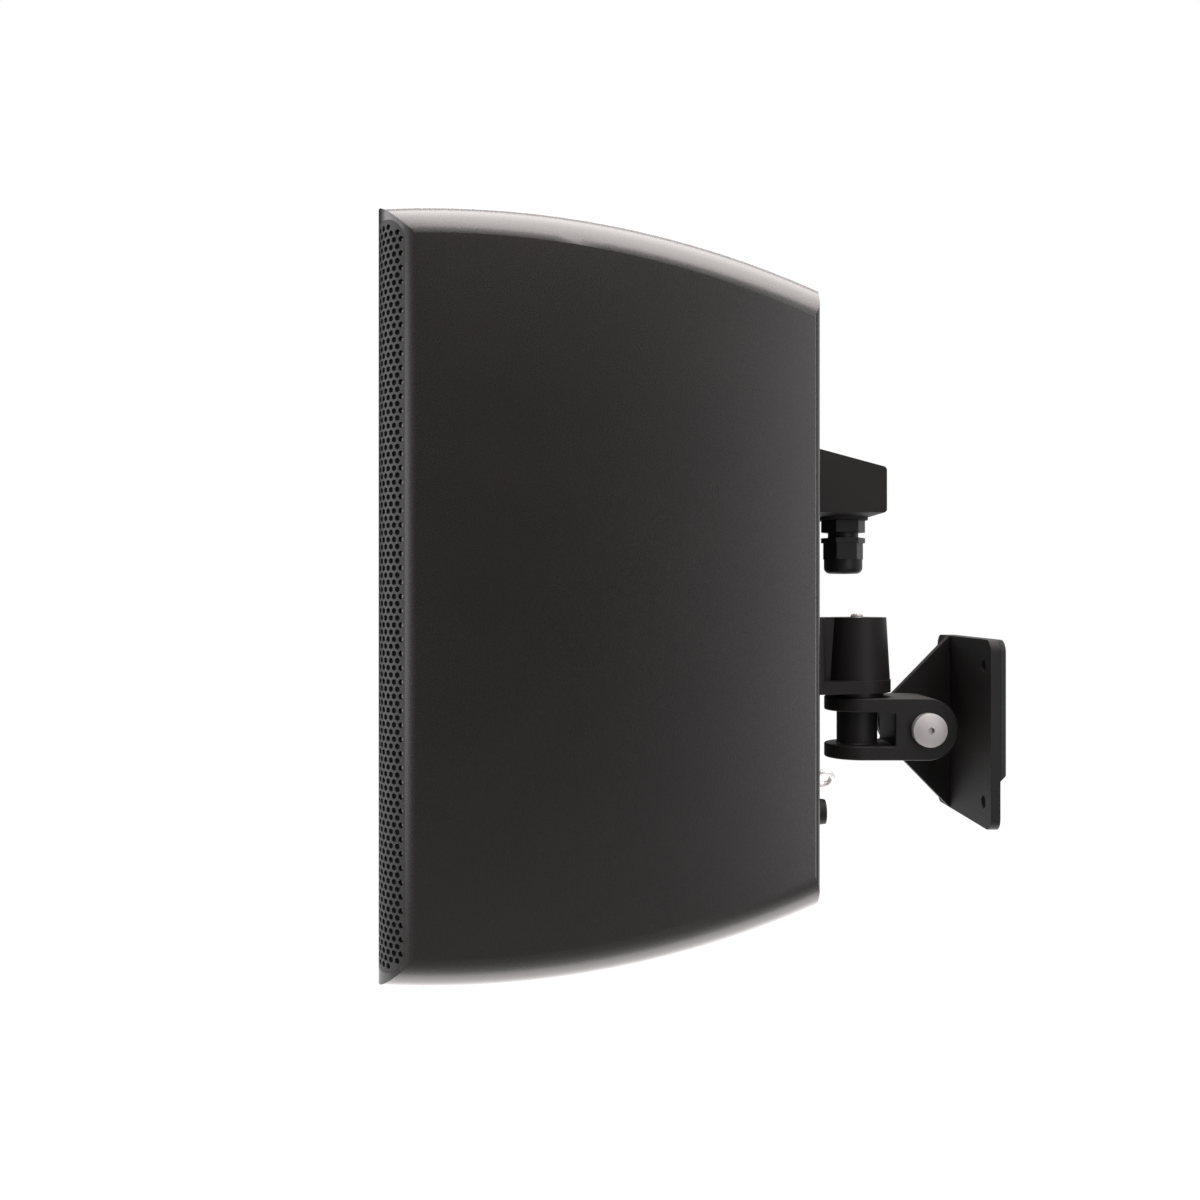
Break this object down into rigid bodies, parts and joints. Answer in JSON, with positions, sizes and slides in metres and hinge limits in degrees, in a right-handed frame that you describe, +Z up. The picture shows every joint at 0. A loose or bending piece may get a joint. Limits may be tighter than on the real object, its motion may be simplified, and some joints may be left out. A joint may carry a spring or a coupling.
{
  "type": "wall speaker",
  "caption": "Two-way wall loudspeaker with arched cabinet, wrap-round perforated grille, rear cable gland and cast pan and tilt bracket.",
  "frame": {"origin": "middle of the bracket's wall plate on the wall's surface, level with the tilt axis", "axes": "+Y into the wall, +Z up, +X to the right seen from the wall side view with the front facing -Y; the front faces -Y"},
  "size_m": [0.25, 0.37, 0.434],
  "materials": {
    "cast_black": "powder coated, fine satin",
    "zinc_steel": "zinc plated, satin",
    "nylon_black": "satin",
    "cabinet_black": "fine grained satin",
    "baffle_black": "satin",
    "grille_steel": "powder coated, satin",
    "seal_rubber": "matte",
    "cloth": "matte",
    "brass": "turned",
    "cone_plastic": "satin",
    "dark_steel": "painted",
    "ferrite": "matte",
    "winding": "varnished",
    "dome_metal": "satin",
    "board": "lacquered",
    "capacitor_film": "gloss"
  },
  "bodies": {
    "wall": {"wall_bracket": "cast_black", "wall_pad": "seal_rubber", "tilt_bolt": "zinc_steel", "tilt_washer": "zinc_steel", "tilt_nut": "zinc_steel"},
    "link": {"link_arm": "cast_black", "thrust_washer": "nylon_black", "pan_bolt": "zinc_steel", "pan_washer": "zinc_steel", "pan_nut": "zinc_steel"},
    "cone": {"woofer_cone": "cone_plastic", "dust_cap": "cone_plastic", "voice_coil": "winding"},
    "knob": {"tap_knob": "nylon_black", "tap_shaft": "zinc_steel"},
    "speaker": {"pan_housing": "cast_black", "housing_screws": "zinc_steel", "baffle_screws": "zinc_steel", "woofer_screws": "zinc_steel", "tweeter_screws": "zinc_steel", "cover_screws": "zinc_steel", "safety_eye": "zinc_steel", "top_plate": "zinc_steel", "yoke": "zinc_steel", "gland_body": "nylon_black", "gland_locknut": "nylon_black", "gland_nut": "nylon_black", "tap_switch": "nylon_black", "cabinet": "cabinet_black", "terminal_cover": "cabinet_black", "front_baffle": "baffle_black", "grille": "grille_steel", "baffle_seal": "seal_rubber", "cover_gasket": "seal_rubber", "gland_seal": "seal_rubber", "gland_insert": "seal_rubber", "woofer_gasket": "seal_rubber", "woofer_surround": "seal_rubber", "grille_cloth": "cloth", "spider": "cloth", "housing_inserts": "brass", "waveguide": "cone_plastic", "port_tubes": "cone_plastic", "board_posts": "cone_plastic", "terminal_block": "cone_plastic", "woofer_basket": "dark_steel", "transformer_core": "dark_steel", "magnet": "ferrite", "tweeter_motor": "ferrite", "crossover_coils": "winding", "transformer_winding": "winding", "tweeter_dome": "dome_metal", "crossover_board": "board", "crossover_capacitors": "capacitor_film"}
  },
  "joints": [
    {"name": "tilt", "type": "hinge", "parent": "wall", "child": "link", "pos_m": [0, -0.0375, 0], "axis": [1, 0, 0], "range_deg": [-20, 30]},
    {"name": "pan", "type": "hinge", "parent": "link", "child": "speaker", "pos_m": [0, -0.078, 0], "axis": [0, 0, 1], "range_deg": [-45, 45]},
    {"name": "cone_travel", "type": "slide", "parent": "speaker", "child": "cone", "axis": [0, 1, 0], "range_m": [-0.004, 0.004], "stiffness_N_per_m": 1800, "deforming": ["woofer_surround", "spider"]},
    {"name": "tap_turn", "type": "hinge", "parent": "speaker", "child": "knob", "pos_m": [0.09, -0.1255, -0.039], "axis": [0, 1, 0], "range_deg": [-75, 75]}
  ]
}
